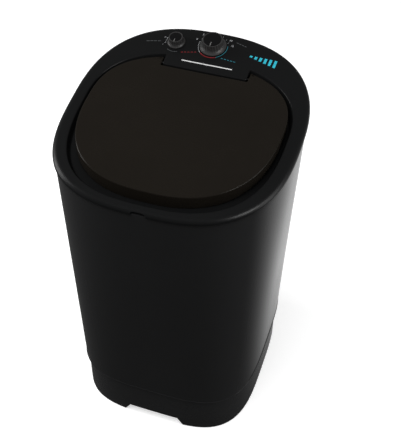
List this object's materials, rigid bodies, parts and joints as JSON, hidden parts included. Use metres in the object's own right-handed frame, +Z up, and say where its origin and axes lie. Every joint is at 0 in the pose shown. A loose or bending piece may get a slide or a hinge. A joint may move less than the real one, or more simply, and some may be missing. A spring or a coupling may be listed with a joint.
{
  "type": "top-loading washing machine",
  "caption": "Black plastic top-loading washing machine: tapered rounded-square cabinet, sloping top frame, smoked hinged lid, two rear dials, tub with pulsator.",
  "frame": {"origin": "on the floor, under the middle of the plan box", "axes": "+Z up, front towards -Y, +X to the right as seen from the front"},
  "size_m": [0.62, 0.6374, 1.0369],
  "materials": {
    "cabinet": "satin black moulding",
    "base_plinth": "satin black moulding",
    "top_frame": "glossy black",
    "lid": "smoked, see-through",
    "tub": "grey moulding",
    "pulsator": "grey moulding",
    "pulsator_cap": "dark grey",
    "knobs": "dark top and grey collar",
    "steel": "bare",
    "controls": "pale moulding",
    "castings": "as cast",
    "rubber": "black",
    "motor": "dark enamel",
    "bracket": "zinc plated",
    "capacitor": "pale",
    "clip": "dark grey",
    "drain": "dark grey",
    "filter_holder": "grey moulding",
    "lint_filter": "pale moulding",
    "service_cover": "satin black moulding"
  },
  "bodies": {
    "machine": {"cabinet": "cabinet", "base_plinth": "base_plinth", "top_frame": "top_frame", "tub": "tub", "hinge_pin_left": "steel", "hinge_pin_right": "steel", "upper_bearing": "steel", "lower_bearing": "steel", "timer_body": "controls", "selector_switch": "controls", "bearing_housing": "castings", "shaft_seal": "rubber", "drive_belt": "rubber", "cord_gland": "rubber", "drain_collar": "rubber", "foot_pad_front_left": "rubber", "foot_pad_front_right": "rubber", "foot_pad_rear_left": "rubber", "foot_pad_rear_right": "rubber", "motor_bush_front_left": "rubber", "motor_bush_front_right": "rubber", "motor_bush_rear_left": "rubber", "motor_bush_rear_right": "rubber", "motor_body": "motor", "motor_bracket": "bracket", "capacitor": "capacitor", "capacitor_clip": "clip", "drain_pipe": "drain", "filter_holder": "filter_holder", "service_cover": "service_cover"},
    "lid": {"lid": "lid"},
    "timer": {"timer_knob": "knobs", "timer_shaft": "steel"},
    "selector": {"selector_knob": "knobs", "selector_shaft": "steel"},
    "agitator": {"pulsator": "pulsator", "pulsator_cap": "pulsator_cap", "pulsator_shaft": "steel", "drive_pulley": "castings"},
    "motor_rotor": {"motor_shaft": "steel", "motor_pulley": "castings"},
    "filter": {"lint_filter": "lint_filter"}
  },
  "joints": [
    {"name": "lid_hinge", "type": "hinge", "parent": "machine", "child": "lid", "pos_m": [0, 0.184, 0.97837], "axis": [-1, 0, 0], "range_deg": [0, 98]},
    {"name": "timer_turn", "type": "hinge", "parent": "machine", "child": "timer", "pos_m": [-0.003, 0.264, 1.00432], "axis": [0, 0.2516, -0.9678], "range_deg": [0, 300]},
    {"name": "selector_turn", "type": "hinge", "parent": "machine", "child": "selector", "pos_m": [-0.104, 0.254, 1.00174], "axis": [0, 0.2482, -0.9687], "range_deg": [-60, 60]},
    {"name": "agitator_spin", "type": "hinge", "parent": "machine", "child": "agitator", "pos_m": [0, -0.025, 0.38], "axis": [0, 0, 1], "continuous": true},
    {"name": "rotor_spin", "type": "hinge", "parent": "machine", "child": "motor_rotor", "pos_m": [0, 0.165, 0.246], "axis": [0, 0, 1], "continuous": true},
    {"name": "filter_lift", "type": "slide", "parent": "machine", "child": "filter", "axis": [0, 0, 1], "range_m": [0, 0.125]}
  ],
  "couplings": [
    {"joint": "rotor_spin", "follows": "agitator_spin", "ratio": 5.1032}
  ]
}
